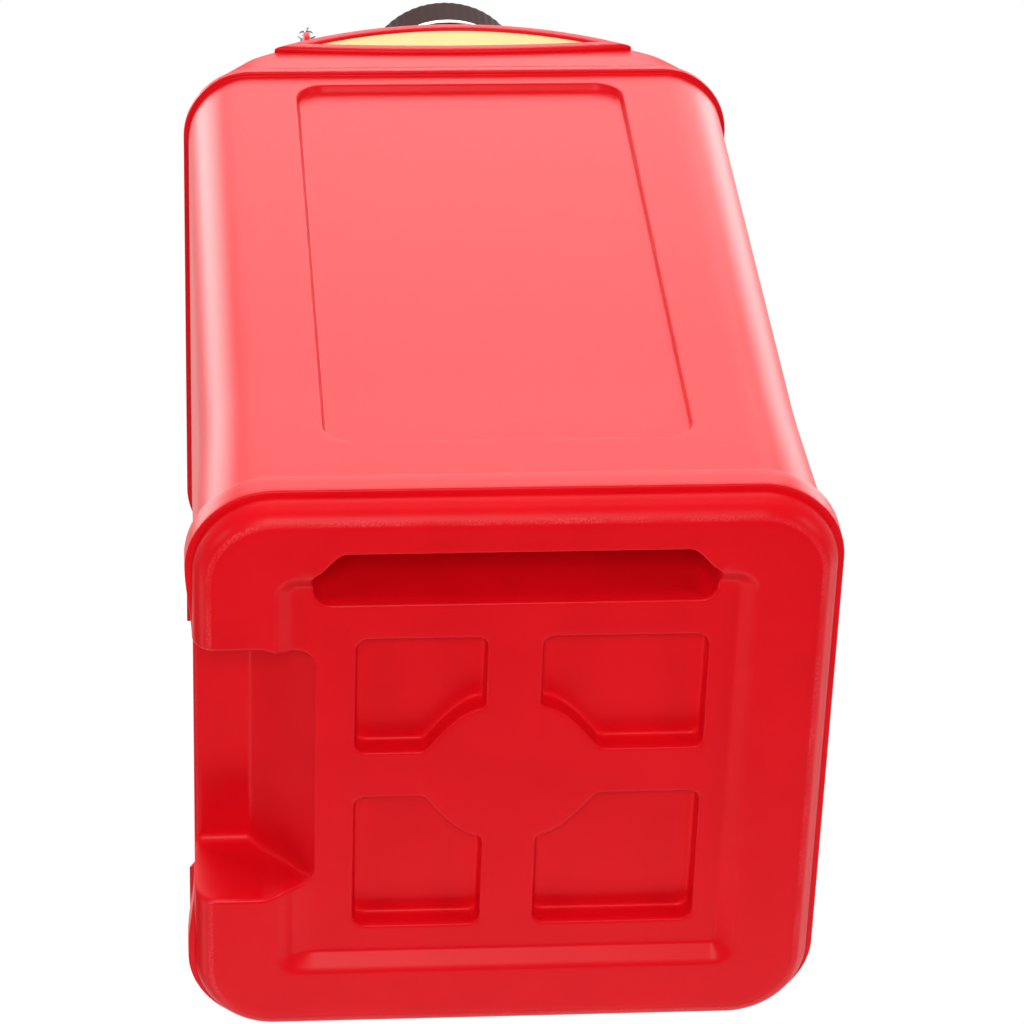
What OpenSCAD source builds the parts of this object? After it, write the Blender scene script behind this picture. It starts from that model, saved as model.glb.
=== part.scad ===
// Moulded plastic gas can with a screw cap on a chain, in millimetres.
// +Z up, front towards -Y, origin on the ground under the middle of the base.

/* [Base] */
// Width of the base band, side to side
base_w = 236; // [210:1:270]
// Depth of the base band, front to back
base_d = 238; // [220:1:270]
// Plan corner radius of the base band
corner_r = 32; // [26:1:40]
// How far the base band stands proud of the foot and the body
ledge = 4; // [3:0.5:6]
// Height and edge radius of the rounded foot under the band
foot_h = 10; // [8:0.5:12]
// Height of the base band
band_h = 11; // [9:1:18]
// Width of the shallow recess in the base
recess_w = 172; // [164:1:176]
// Depth of that recess, front to back
recess_d = 176; // [170:1:180]
// Height of the recess's floor above the ground, and the run of its sloped wall
recess_h = 5; // [3:0.5:6]
// Corner radius of the recess
recess_r = 8; // [7:1:12]

/* [Base grips] */
// Greatest width of the finger slot near the front edge
slot_w = 142; // [120:1:150]
// Width of the slot at its front edge
slot_front_w = 108; // [90:1:112]
// Size of the slot, front to back
slot_l = 21; // [16:0.5:24]
// Distance of the slot's front edge behind the front of the band
slot_back = 22; // [20:0.5:26]
// Distance of the slot's widest place behind its front edge
slot_swell = 9.5; // [7:0.5:12]
// How much each end of the slot draws in again at its rear edge
slot_taper = 3.5; // [1:0.5:6]
// Depth of the slot above the recess's floor
slot_depth = 34; // [24:1:40]
// Length of the grip notch along the left side
notch_l = 110; // [90:1:116]
// Reach of the notch in from the side of the band
notch_w = 47; // [40:1:50]
// Width of the notch's flat ceiling, before its ramp
notch_flat = 20; // [14:1:26]
// Depth of the notch above the recess's floor
notch_depth = 34; // [24:1:40]

/* [Base pads] */
// Depth of the four pads above the recess's floor
pad_depth = 8; // [4:0.5:10]
// Width of the two pads on the left
pad_left = 48; // [40:1:52]
// Width of the two pads on the right
pad_right = 60; // [50:1:64]
// Length of the two pads at the front
pad_front = 49; // [40:1:52]
// Length of the two pads at the rear
pad_rear = 61; // [50:1:68]
// Width of the plain cross between the pads
pad_cross = 20; // [16:1:24]
// Distance of that cross's middle in front of the base's middle
pad_ahead = 3; // [0:0.5:5]
// Size of the S-shaped corner that each pad turns to the middle
pad_corner = 21; // [14:1:24]
// Radius of the pad's outer corner
pad_r = 5; // [3:0.5:8]

/* [Body] */
// Thickness of the moulded wall
wall = 3; // [2.5:0.5:3.5]
// Height of the step under the shoulder
shoulder_z = 332; // [280:1:380]
// Height of the shoulder band
shoulder_h = 14; // [12:1:20]
// How far the shoulder stands proud of the body
shoulder_proud = 2; // [1.5:0.5:3.5]
// Radius on the shoulder's top edge
shoulder_r = 8; // [6:0.5:10]
// Width of the sunk front panel
panel_w = 135; // [110:1:150]
// Height of the panel's lower edge
panel_low = 48; // [44:1:60]
// Gap between the panel's upper edge and the shoulder step
panel_gap = 8; // [6:1:20]
// Depth of the panel
panel_depth = 2.5; // [1.5:0.5:3.5]
// Corner radius of the panel
panel_r = 12; // [6:1:16]

/* [Roof and label] */
// Half width of the roof vault where it meets the shoulder
vault_half = 94; // [88:1:100]
// Rise of the vault's crown over the shoulder
vault_rise = 35.5; // [34:0.5:40]
// Half width of the lens-shaped label frame
frame_half = 78; // [72:1:82]
// Sag of the frame's lower edge
frame_sag = 4; // [2:0.5:6]
// Width of the frame's rim
frame_rim = 5; // [3:0.5:7]
// How far the frame stands proud of the gable
frame_proud = 3.5; // [2:0.5:4]
// Thickness of the label sheet
label_t = 0.5; // [0.3:0.1:1]

/* [Handle] */
// Room between the handle's rear root and the vent's collar
handle_gap = 3.1; // [2.5:0.1:5]
// Length of the finger opening
grip_l = 100; // [94:1:104]
// Rise of the bar's top over the crown
handle_rise = 18; // [14:1:22]
// Thickness of the bar
handle_t = 20; // [18:1:24]
// Width of the bar
handle_w = 34; // [28:1:38]
// Radius on the bar's long edges
handle_r = 9; // [6:0.5:9]
// Reach of the bar's top past each end of the opening
handle_root = 10; // [8:1:14]

/* [Neck and cap] */
// Distance of the neck's middle behind the gable
neck_back = 40; // [39:1:42]
// Outer radius of the neck
neck_r = 29; // [27:0.5:30]
// Wall of the neck
neck_wall = 3.5; // [3:0.5:5]
// Height of the neck above its boss
neck_h = 23; // [21:0.5:26]
// Height of the flat boss under the neck, over the crown
boss_h = 6; // [5:0.5:8]
// Radius of the boss
boss_r = 33; // [32:0.5:34]
// Room between the neck and the inside of the cap, for the thread
thread_room = 2.2; // [1.8:0.1:2.6]
// Wall of the cap at its waist
cap_wall = 1.7; // [1.5:0.1:2.2]
// Depth of the waist below the cap's grip and bead
waist_depth = 1.1; // [0.9:0.1:1.4]
// Height of the bead at the cap's lower edge
bead_h = 2; // [1.5:0.5:3]
// Thickness of the cap's top
cap_top = 5; // [4:0.5:6]
// Bevel on the cap's top edge
cap_edge = 2; // [1:0.5:3]
// Lift of the cap over its full unscrewing
cap_lift = 6.25; // [5:0.25:7.5]
// Number of grip flutes round the cap
flutes = 28; // [20:2:36]
// Radius of a flute
flute_r = 1.6; // [1.2:0.1:2]
// Depth of a flute
flute_depth = 0.7; // [0.5:0.1:1]
// Thickness of the cap's gasket
gasket_t = 2; // [1.5:0.25:2.5]

/* [Flame arrester] */
// Thickness of the cage's flange
flange_t = 1.8; // [1.4:0.2:2.4]
// Length of the cage below the flange
cage_l = 62; // [50:1:80]
// Wall of the cage's rings and ribs
cage_wall = 2; // [1.6:0.2:2.6]
// Height of the cage's two rings
cage_ring = 5; // [4:0.5:8]
// Number of ribs
cage_ribs = 8; // [6:1:12]
// Width of a rib
rib_w = 3; // [2:0.5:4]
// Thickness of the mesh cup
mesh_t = 0.6; // [0.4:0.1:0.8]

/* [Vent] */
// Distance of the vent's middle in front of the rear face
vent_ahead = 16; // [15:0.5:17]
// Outer radius of the vent neck
vent_r = 7; // [6:0.5:7.5]
// Bore of the vent neck, as a radius
vent_bore = 4.5; // [3.5:0.5:5]
// Height of the vent neck over the crown
vent_h = 9; // [8:0.5:9]
// Room between the vent neck and its cap, so that the cap swings clear of it
vent_play = 0.9; // [0.9:0.1:1.2]
// Wall of the vent's collar and cap
vent_wall = 2; // [1.6:0.2:2.4]
// Height of the collar
collar_h = 3.5; // [3:0.5:4.5]
// Radius of the hinge pin
pin_r = 1; // [0.8:0.1:1.2]
// Wall of the hinge's knuckle and ears round the pin
knuckle_wall = 1.4; // [1.2:0.1:1.6]
// Width of the vent cap's knuckle
knuckle_w = 5; // [4:0.5:6]
// Width of each ear of the collar
ear_w = 3; // [2.5:0.5:3.5]

/* [Tether] */
// Distance of the lug to the left of the middle
lug_x = 61; // [58:1:64]
// Distance of the lug's middle behind the gable
lug_back = 2.5; // [2.5:0.5:4]
// Height of the lug's hole over the roof at its middle
lug_hole_h = 8.5; // [8:0.5:10]
// Thickness of the lug
lug_t = 3; // [2:0.5:3.5]
// Radius of the lug's rounded top
lug_r = 2.6; // [2.5:0.1:3]
// Radius of the lug's hole
lug_bore = 1.5; // [1.4:0.1:1.6]
// Radius of the steel ring in the lug, to its wire's middle
ring_r = 3.6; // [3.5:0.1:4]
// Radius of that ring's wire
ring_wire = 0.7; // [0.6:0.05:0.8]
// Radius of the wire of the swivel ring
swivel_wire = 0.9; // [0.8:0.1:1]
// Radius of the eye on the swivel ring, to its wire's middle
eye_r = 2.6; // [2.4:0.1:3]
// Direction of that eye seen from above, in degrees
eye_turn = 142; // [138:1:146]
// Radius of the split ring, to its wire's middle
split_r = 5; // [4.5:0.25:5.5]
// Radius of the split ring's wire
split_wire = 0.7; // [0.6:0.05:0.8]
// Number of chain links
links = 15; // [14:1:16]
// Radius of the chain's wire
link_wire = 0.6; // [0.5:0.05:0.65]
// Inner width of a link
link_w = 3.2; // [3:0.1:3.6]
// Play of each link along the chain
link_play = 0.5; // [0.4:0.05:0.6]

/* [Hidden] */
$fn = 96;
wire_fn = 24;
arc_fn = 360;
red = "#d01020";
black = "#1c1c1e";
rubber = "#2b2b2b";
steel = "#b9bcc0";
amber = "#e8c64a";
// Clearance of pieces that move past each other, of pieces pushed together, and of a pin in its bore
seat = 0.3;
fit = 0.1;
pin_play = 0.05;
// Cutters and joined shapes reach past each other by this much
overlap = 1;
far = 600;

// Heights and planes that several pieces share
band_top = foot_h + band_h;
body_w = base_w - 2 * ledge;
body_d = base_d - 2 * ledge;
body_r = corner_r - ledge;
front = -body_d / 2;
left = -base_w / 2;
shoulder_top = shoulder_z + shoulder_h;
shoulder_w = body_w + 2 * shoulder_proud;
shoulder_d = body_d + 2 * shoulder_proud;
inner_w = body_w - 2 * wall;
inner_d = body_d - 2 * wall;
inner_r = body_r - wall;
crown = shoulder_top + vault_rise;
vault_r = (vault_half * vault_half + vault_rise * vault_rise) / (2 * vault_rise);
vault_z = crown - vault_r;
function roof_at(x) = vault_z + sqrt(vault_r * vault_r - x * x);
panel_high = shoulder_z - panel_gap;

// Base pockets
slot_front = -base_d / 2 + slot_back;
slot_rear = slot_front + slot_l;
slot_top = recess_h + slot_depth;
notch_top = recess_h + notch_depth;
pad_top = recess_h + pad_depth;

// Label frame: its lower edge is a shallow arc between the two tips
tip_z = roof_at(frame_half);
lower_r = (frame_half * frame_half + frame_sag * frame_sag) / (2 * frame_sag);
lower_z = tip_z - frame_sag + lower_r;

// Handle bar: an arc about an axis along X, whose top leaves and meets the crown
bar_half = grip_l / 2 + handle_root;
bar_r = (bar_half * bar_half + handle_rise * handle_rise) / (2 * handle_rise);
bar_z = crown + handle_rise - bar_r;
bar_turn = asin(bar_half / bar_r);

// Neck, cap and gasket stack
neck_y = front + neck_back;
neck_bore = neck_r - neck_wall;
boss_root = roof_at(boss_r) - wall;
boss_top = crown + boss_h;
neck_top = boss_top + neck_h;
flange_r = neck_bore + neck_wall / 2;
gasket_z = neck_top + seat;
cap_bottom = boss_top + seat;
cap_ceiling = gasket_z + gasket_t + seat;
cap_in = neck_r + thread_room;
waist_r = cap_in + cap_wall;
cap_r = waist_r + waist_depth;
bead_top = cap_bottom + bead_h;
waist_top = bead_top + cap_lift + 2 * swivel_wire + 3 * seat;
cap_high = cap_ceiling + cap_top;

// Flame arrester in the neck: the flange lies in the neck's rebate
cage_r = neck_bore - seat;
cage_in = cage_r - cage_wall;
cage_top = neck_top - flange_t;
cage_low = cage_top - cage_l;

// Tether: the swivel ring at the top of the waist, its eye, and the rings at the chain's ends
swivel_r = waist_r + seat + swivel_wire;
swivel_z = waist_top - seat - swivel_wire;
eye_reach = swivel_r + swivel_wire + eye_r;
eye_at = [eye_reach * cos(eye_turn), neck_y + eye_reach * sin(eye_turn), swivel_z];
split_at = eye_at - [0, 0, split_r];
lug_y = front + lug_back;
lug_roof = roof_at(lug_x);
lug_hole = lug_roof + lug_hole_h;
ring_at = [-lug_x, lug_y, lug_hole + ring_r];

// Chain route: one Bezier curve, up from the lug's ring, back over the roof and down to the split ring
leave_ring = [1, 30, 24];
reach_split = [22, -20, 12];
ring_end = ring_at + [0, 0, ring_r];
split_end = split_at - [0, 0, split_r];
chain_a = ring_end - (ring_wire + seat - link_play / 2) * leave_ring / norm(leave_ring);
chain_d = split_end + (split_wire + seat - link_play / 2) * reach_split / norm(reach_split);
chain_b = ring_end + leave_ring;
chain_c = split_end - reach_split;
first_roll = 110;
// Links are cut to a whole number of these steps, so that their ends and sides meet face to face
link_step = 0.02;

// Vent stack
vent_y = -front - vent_ahead;
vent_bottom = crown + seat;
collar_in = vent_r + seat;
vcap_in = vent_r + vent_play;
collar_r = vcap_in + vent_wall;
collar_top = vent_bottom + collar_h;
vent_top = crown + vent_h;
vcap_bottom = collar_top + seat;
vcap_ceiling = vent_top + seat;
knuckle_r = pin_r + knuckle_wall;
hinge_x = collar_r + knuckle_r + seat;
hinge_z = vcap_bottom;
// The middle of the handle, whose rear root ends just ahead of the collar
handle_y = vent_y - collar_r - handle_gap - bar_half;

// Rounded rectangle in plan
module plan(w, d, r) {
    square([w - 2 * r, d], center = true);
    square([w, d - 2 * r], center = true);
    for (x = [-1, 1], y = [-1, 1])
        translate([x * (w / 2 - r), y * (d / 2 - r)]) circle(r);
}

// Upright section of a block with its two lower edges rounded
module round_bottom(w, h, r) {
    translate([-w / 2, r]) square([w, h - r]);
    translate([r - w / 2, 0]) square([w - 2 * r, h]);
    for (x = [-1, 1])
        translate([x * (w / 2 - r), r]) circle(r);
}

// Block with rounded upright corners and a rounded lower edge that runs round them
module foot_block(w, d, h, corner, edge) {
    rotate([90, 0, 0]) linear_extrude(d - 2 * corner, center = true) round_bottom(w, h, edge);
    rotate([90, 0, 90]) linear_extrude(w - 2 * corner, center = true) round_bottom(d, h, edge);
    for (x = [-1, 1], y = [-1, 1])
        translate([x * (w / 2 - corner), y * (d / 2 - corner), 0])
            rotate_extrude() intersection() {
                round_bottom(2 * corner, h, edge);
                square([corner, h]);
            }
}

// Points of an S-shaped step from a to b that starts and ends along X
function s_step(a, b, n = 8) = [
    for (i = [0 : n])
        let (t = i / n, s = t * t * (3 - 2 * t))
        [a[0] + (b[0] - a[0]) * t, a[1] + (b[1] - a[1]) * s]
];

// Section of the roof vault, drawn in by a distance
module vault(inset) {
    intersection() {
        translate([0, vault_z]) circle(vault_r - inset);
        translate([-far / 2, shoulder_top - shoulder_h / 2]) square([far, far]);
    }
}

// Lens between the vault's arc and the lower arc of the label frame
module lens(inset) {
    intersection() {
        translate([0, vault_z]) circle(vault_r - inset);
        translate([0, lower_z]) circle(lower_r - inset, $fn = arc_fn);
    }
}

// Upright prism along Y with a section drawn in X and Z
module along_y(y0, y1) {
    translate([0, y1, 0]) rotate([90, 0, 0]) linear_extrude(y1 - y0) children();
}

// Finger slot, with ends that swell in an S behind its front edge
module slot() {
    start = [slot_front_w / 2, slot_front];
    tip = [slot_w / 2, slot_front + slot_swell];
    heel = [slot_w / 2 - slot_taper, slot_rear];
    right = concat(s_step(start, tip), [heel]);
    mirrored = [for (i = [len(right) - 1 : -1 : 0]) [-right[i][0], right[i][1]]];
    translate([0, 0, -overlap]) linear_extrude(slot_top + overlap) polygon(concat(right, mirrored));
}

// Wall that backs the slot inside the tank
module slot_back_wall() {
    translate([-slot_w / 2 - wall, slot_front - wall, 0])
        cube([slot_w + 2 * wall, slot_l + 2 * wall, slot_top + wall]);
}

// Grip notch: a flat ceiling at the side and a ramp that rises to it, grown by a wall's thickness
module notch(grow = 0) {
    slope = (notch_w - notch_flat) / notch_depth;
    shift = grow * sqrt(1 + slope * slope);
    foot_x = left + notch_w + shift;
    ceiling_x = left + notch_flat + shift - grow * slope;
    section = [[left - overlap, -overlap], [left - overlap, notch_top + grow], [ceiling_x, notch_top + grow],
               [foot_x, recess_h], [foot_x, -overlap]];
    along_y(-notch_l / 2 - grow, notch_l / 2 + grow) polygon(section);
}

// One pad in its own quarter: w along X, l along Y, its S-shaped corner at the origin
module pad(w, l) {
    curve = s_step([0, pad_corner], [pad_corner, 0]);
    difference() {
        union() {
            square([w - pad_r, l]);
            square([w, l - pad_r]);
            translate([w - pad_r, l - pad_r]) circle(pad_r);
        }
        polygon(concat([[-overlap, pad_corner]], curve, [[pad_corner, -overlap], [-overlap, -overlap]]));
    }
}

// Sizes of the pad on one side of the cross
function pad_w(x) = x < 0 ? pad_left : pad_right;
function pad_l(y) = y < 0 ? pad_front : pad_rear;

// The four pads round the cross
module pads() {
    for (x = [-1, 1], y = [-1, 1])
        translate([x * pad_cross / 2, y * pad_cross / 2 - pad_ahead, -overlap])
            linear_extrude(pad_top + overlap) scale([x, y]) pad(pad_w(x), pad_l(y));
}

// Wall that backs the pads inside the tank
module pad_backs() {
    for (x = [-1, 1], y = [-1, 1])
        translate([x * (pad_cross / 2 - wall), y * (pad_cross / 2 - wall) - pad_ahead, 0])
            linear_extrude(pad_top + wall) scale([x, y]) square([pad_w(x) + 2 * wall, pad_l(y) + 2 * wall]);
}

// Shallow recess of the base, with a sloped wall
module recess() {
    hull() {
        translate([0, 0, -overlap]) linear_extrude(overlap) plan(recess_w, recess_d, recess_r, $fn = 32);
        linear_extrude(recess_h)
            plan(recess_w - 2 * recess_h, recess_d - 2 * recess_h, recess_r - recess_h, $fn = 32);
    }
}

// Wall that backs the recess inside the tank
module recess_back() {
    translate([-recess_w / 2, -recess_d / 2, 0]) cube([recess_w, recess_d, recess_h + wall]);
}

// Sunk panel on the front of the body, grown by a wall's thickness
module panel(grow = 0) {
    along_y(front - overlap, front + panel_depth + grow)
        translate([0, (panel_low + panel_high) / 2])
            plan(panel_w + 2 * grow, panel_high - panel_low + 2 * grow, panel_r + grow);
}

// Finger opening through the roof from side to side, grown by a wall's thickness
module grip_opening(grow = 0) {
    l = grip_l + 2 * grow;
    translate([-far / 2, handle_y - l / 2, shoulder_top - grow]) cube([far, l, far]);
}

// Handle bar: a rounded section swept along its arc
module handle_bar() {
    translate([0, handle_y, bar_z]) rotate([0, -90, 0]) rotate([0, 0, -bar_turn])
        rotate_extrude(angle = 2 * bar_turn)
            translate([bar_r - handle_t / 2, 0]) plan(handle_t, handle_w, handle_r);
}

// Lug for the tether: a rounded ear that stands on the roof
module lug() {
    translate([-lug_x, lug_y, 0]) rotate([90, 0, 90]) translate([0, 0, -lug_t / 2]) linear_extrude(lug_t) {
        translate([0, lug_hole]) circle(lug_r);
        translate([-lug_r, lug_roof - wall]) square([2 * lug_r, lug_hole - lug_roof + wall]);
    }
}

// Outside of the roof: vault, label frame, neck boss and lug, cut by the finger opening
module roof_outside() {
    difference() {
        union() {
            intersection() {
                along_y(front, -front) vault(0);
                linear_extrude(far) plan(body_w, body_d, body_r);
            }
            along_y(front - frame_proud, front + overlap) difference() {
                lens(0);
                lens(frame_rim);
            }
            translate([0, neck_y, boss_root]) cylinder(r = boss_r, h = boss_top - boss_root);
            lug();
        }
        grip_opening();
    }
}

// Outside of the moulding
module tank_outside() {
    foot_block(body_w, body_d, band_top, body_r, foot_h);
    translate([0, 0, foot_h]) linear_extrude(band_h) plan(base_w, base_d, corner_r);
    translate([0, 0, foot_h])
        linear_extrude(shoulder_z + shoulder_h / 2 - foot_h) plan(body_w, body_d, body_r);
    translate([0, 0, shoulder_top]) mirror([0, 0, 1])
        foot_block(shoulder_w, shoulder_d, shoulder_h, body_r + shoulder_proud, shoulder_r);
    roof_outside();
    handle_bar();
    translate([0, neck_y, crown]) cylinder(r = neck_r, h = neck_top - crown);
    translate([0, vent_y, crown - wall]) cylinder(r = vent_r, h = vent_h + wall);
}

// Inside of the tank
module tank_inside() {
    difference() {
        union() {
            translate([0, 0, wall]) foot_block(inner_w, inner_d, band_top, inner_r, foot_h - wall);
            translate([0, 0, band_top])
                linear_extrude(shoulder_top - wall - band_top) plan(inner_w, inner_d, inner_r);
            intersection() {
                along_y(-inner_d / 2, inner_d / 2) vault(wall);
                linear_extrude(far) plan(inner_w, inner_d, inner_r);
            }
        }
        grip_opening(wall);
        panel(wall);
        recess_back();
        slot_back_wall();
        notch(wall);
        pad_backs();
    }
}

module can_body() {
    color(red) difference() {
        tank_outside();
        tank_inside();
        recess();
        slot();
        notch();
        pads();
        panel();
        translate([0, neck_y, boss_root - wall]) cylinder(r = neck_bore, h = far);
        translate([0, neck_y, cage_top]) cylinder(r = flange_r, h = far);
        translate([0, vent_y, crown - 2 * wall]) cylinder(r = vent_bore, h = far);
        translate([-lug_x - lug_t, lug_y, lug_hole]) rotate([0, 90, 0]) cylinder(r = lug_bore, h = 2 * lug_t);
    }
}

module front_label() {
    color(amber) along_y(front - label_t, front) lens(frame_rim + seat);
}

// Ring of round wire about the origin, turned into its plane
module wire_ring(r, wire, turn) {
    rotate(turn) rotate_extrude() translate([r, 0]) circle(wire, $fn = wire_fn);
}

module tether_ring() {
    color(steel) translate(ring_at) wire_ring(ring_r, ring_wire, [90, 0, 0]);
}

module swivel_ring() {
    color(steel) {
        translate([0, neck_y, swivel_z]) wire_ring(swivel_r, swivel_wire, [0, 0, 0]);
        translate(eye_at) wire_ring(eye_r, swivel_wire, [90, 0, eye_turn]);
    }
}

module split_ring() {
    color(steel) translate(split_at) wire_ring(split_r, split_wire, [90, 0, eye_turn + 90]);
}

// Point of the chain's route at a share t of the curve
function bezier(t) =
    pow(1 - t, 3) * chain_a + 3 * t * pow(1 - t, 2) * chain_b
    + 3 * t * t * (1 - t) * chain_c + pow(t, 3) * chain_d;

// Length of the route up to each of its steps, as pairs for lookup
route_n = 200;
route = [for (i = [0 : route_n]) bezier(i / route_n)];
function lengths(i = 0, total = 0) =
    i == route_n ? [[total, i]]
    : concat([[total, i]], lengths(i + 1, total + norm(route[i + 1] - route[i])));
route_len = lengths();
function along(d) = bezier(lookup(d, route_len) / route_n);
link_pitch = route_len[route_n][0] / links;
link_l = round((link_pitch + link_play) / link_step) * link_step;

// One link along X: two half rings and two straight sides, drawn about its middle
module link() {
    mid = link_w / 2 + link_wire;
    reach = link_l / 2 - link_w / 2;
    for (side = [-1, 1]) {
        translate([-reach, side * mid, 0]) rotate([0, 90, 0])
            cylinder(r = link_wire, h = 2 * reach, $fn = wire_fn);
        translate([side * reach, 0, 0]) rotate([0, 0, side * 90 - 180])
            rotate_extrude(angle = 180) translate([mid, 0]) circle(link_wire, $fn = wire_fn);
    }
}

// Links at equal steps along the route, each a quarter turn from the one before
module tether_chain() {
    color(steel) for (i = [0 : links - 1]) {
        p = along(i * link_pitch);
        q = along((i + 1) * link_pitch);
        d = q - p;
        translate((p + q) / 2) rotate([0, -asin(d[2] / norm(d)), atan2(d[1], d[0])])
            rotate([first_roll + 90 * (i % 2), 0, 0]) link();
    }
}

// Ring with a plain rectangular section
module tube(r_in, r_out, z0, z1) {
    translate([0, 0, z0]) difference() {
        cylinder(r = r_out, h = z1 - z0);
        translate([0, 0, -overlap]) cylinder(r = r_in, h = z1 - z0 + 2 * overlap);
    }
}

module screw_cap() {
    profile = [[0, cap_ceiling], [cap_in, cap_ceiling], [cap_in, cap_bottom], [cap_r, cap_bottom],
               [cap_r, bead_top], [waist_r, bead_top], [waist_r, waist_top], [cap_r, waist_top],
               [cap_r, cap_high - cap_edge], [cap_r - cap_edge, cap_high], [0, cap_high]];
    color(black) translate([0, neck_y, 0]) difference() {
        rotate_extrude() polygon(profile);
        for (i = [0 : flutes - 1])
            rotate([0, 0, i * 360 / flutes])
                translate([cap_r + flute_r - flute_depth, 0, waist_top + cap_edge])
                    cylinder(r = flute_r, h = far, $fn = wire_fn);
    }
}

module cap_gasket() {
    color(rubber) translate([0, neck_y, 0])
        tube(neck_bore + seat, cap_in - seat, gasket_z, gasket_z + gasket_t);
}

module arrester_cage() {
    color(black) translate([0, neck_y, 0]) {
        tube(cage_in, flange_r - fit, cage_top, neck_top);
        tube(cage_in, cage_r, cage_top - cage_ring, cage_top + flange_t / 2);
        tube(cage_in, cage_r, cage_low, cage_low + cage_ring);
        for (i = [0 : cage_ribs - 1])
            rotate([0, 0, i * 360 / cage_ribs])
                translate([cage_in + cage_wall / 2, 0, (cage_low + cage_top) / 2])
                    cube([cage_wall - fit, rib_w, cage_l - cage_ring], center = true);
    }
}

module arrester_mesh() {
    r = cage_in - fit;
    color(steel) translate([0, neck_y, cage_low]) difference() {
        cylinder(r = r, h = cage_l);
        translate([0, 0, mesh_t]) cylinder(r = r - mesh_t, h = cage_l);
    }
}

// Slab from a round wall to the vent's hinge
module arm(reach, w, z0, z1) {
    translate([reach, -w / 2, z0]) cube([hinge_x - reach, w, z1 - z0]);
}

// Cylinder along Y about the vent's hinge axis
module on_hinge(r, w) {
    translate([hinge_x, 0, hinge_z]) rotate([90, 0, 0]) cylinder(r = r, h = w, center = true);
}

module vent_collar() {
    color(black) translate([0, vent_y, 0]) difference() {
        union() {
            tube(collar_in, collar_r, vent_bottom, collar_top);
            for (side = [-1, 1])
                translate([0, side * (knuckle_w / 2 + seat + ear_w / 2), 0]) {
                    on_hinge(knuckle_r, ear_w);
                    arm(collar_in + vent_wall / 2, ear_w, vent_bottom, collar_top);
                }
        }
        on_hinge(pin_r + pin_play, far);
        translate([0, 0, vent_bottom - overlap]) cylinder(r = collar_in, h = far);
    }
}

module vent_cap() {
    color(black) translate([0, vent_y, 0]) difference() {
        union() {
            translate([0, 0, vcap_bottom]) cylinder(r = collar_r, h = vcap_ceiling + vent_wall - vcap_bottom);
            on_hinge(knuckle_r, knuckle_w);
            arm(vcap_in + vent_wall / 2, knuckle_w, vcap_bottom, vcap_bottom + knuckle_r);
        }
        translate([0, 0, vcap_bottom - overlap])
            cylinder(r = vcap_in, h = vcap_ceiling - vcap_bottom + overlap);
        on_hinge(pin_r + pin_play, far);
    }
}

module vent_pin() {
    color(steel) translate([0, vent_y, 0]) on_hinge(pin_r, knuckle_w + 2 * seat + 2 * ear_w);
}

can_body();
front_label();
screw_cap();
cap_gasket();
arrester_cage();
arrester_mesh();
tether_ring();
tether_chain();
split_ring();
swivel_ring();
vent_collar();
vent_cap();
vent_pin();
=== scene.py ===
"""Red moulded gas can with a screw cap on a chain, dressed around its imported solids."""

import bmesh
import bpy
import numpy as np
from mathutils import Matrix, Vector


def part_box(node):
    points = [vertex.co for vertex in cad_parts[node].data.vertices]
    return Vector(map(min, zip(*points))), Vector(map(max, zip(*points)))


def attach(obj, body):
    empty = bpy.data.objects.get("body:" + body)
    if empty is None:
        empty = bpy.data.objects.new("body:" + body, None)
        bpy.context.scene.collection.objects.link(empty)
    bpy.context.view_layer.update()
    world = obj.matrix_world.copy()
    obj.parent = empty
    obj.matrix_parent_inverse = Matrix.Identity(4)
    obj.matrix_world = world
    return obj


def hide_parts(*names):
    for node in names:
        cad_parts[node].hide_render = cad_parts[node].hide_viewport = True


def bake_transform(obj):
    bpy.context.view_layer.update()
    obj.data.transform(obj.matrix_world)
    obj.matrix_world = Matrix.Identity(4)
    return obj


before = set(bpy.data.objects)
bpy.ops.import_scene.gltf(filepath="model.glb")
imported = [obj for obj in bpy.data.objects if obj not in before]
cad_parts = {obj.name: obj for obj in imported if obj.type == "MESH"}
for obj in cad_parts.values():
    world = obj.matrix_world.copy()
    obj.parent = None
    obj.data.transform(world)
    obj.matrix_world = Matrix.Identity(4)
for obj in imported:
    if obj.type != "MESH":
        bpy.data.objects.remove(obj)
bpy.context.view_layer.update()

# Base of the can: the underside of the one-piece tank, blow-moulded in red polyethylene. The mould pressed a
# shallow recess, a finger slot, four pads and a grip notch at the left into it, and left every edge round.
# Sizes here and below are in millimetres, in the can's own frame: +Z up, front towards -Y.
MM = 0.001
can_low, can_high = (np.array(corner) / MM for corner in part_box("can_body"))
GRID = 0.9
LEDGE = 2.4
FOOT_HALF = can_high[:2] - LEDGE
FOOT_R = 30
FOOT_TOP = 10
FOOT_ROUND = 9
SOLE_W = 18
BODY_HALF = can_high[:2] - [6.5, 4]
BODY_R = 28
BODY_DRAW = BODY_HALF - FOOT_HALF
BAND_TOP = 21
WALL_ROOT = 1.5
# The walls' share of their full inset at rising heights, all round and by the notch.
WALL_RISE = (BAND_TOP, BAND_TOP + WALL_ROOT, 40, 90)
WALL_INSET = (0, 0.35, 0.5, 1)
NOTCH_INSET = (0, 0.1, 0.15, 1)
RECESS_HALF = np.array([86, 88])
RECESS_R = 8
RECESS_H = 5
# Behind the notch the recess fades out from these places in X and Y, over these lengths.
LEVEL_FROM = (-89, 30)
LEVEL_OVER = (18, 15)
SLOT_TOP = 39
SLOT_FRONT = can_low[1] + 21
SLOT_DEEP = 24.5
SLOT_BEND = 10
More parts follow.
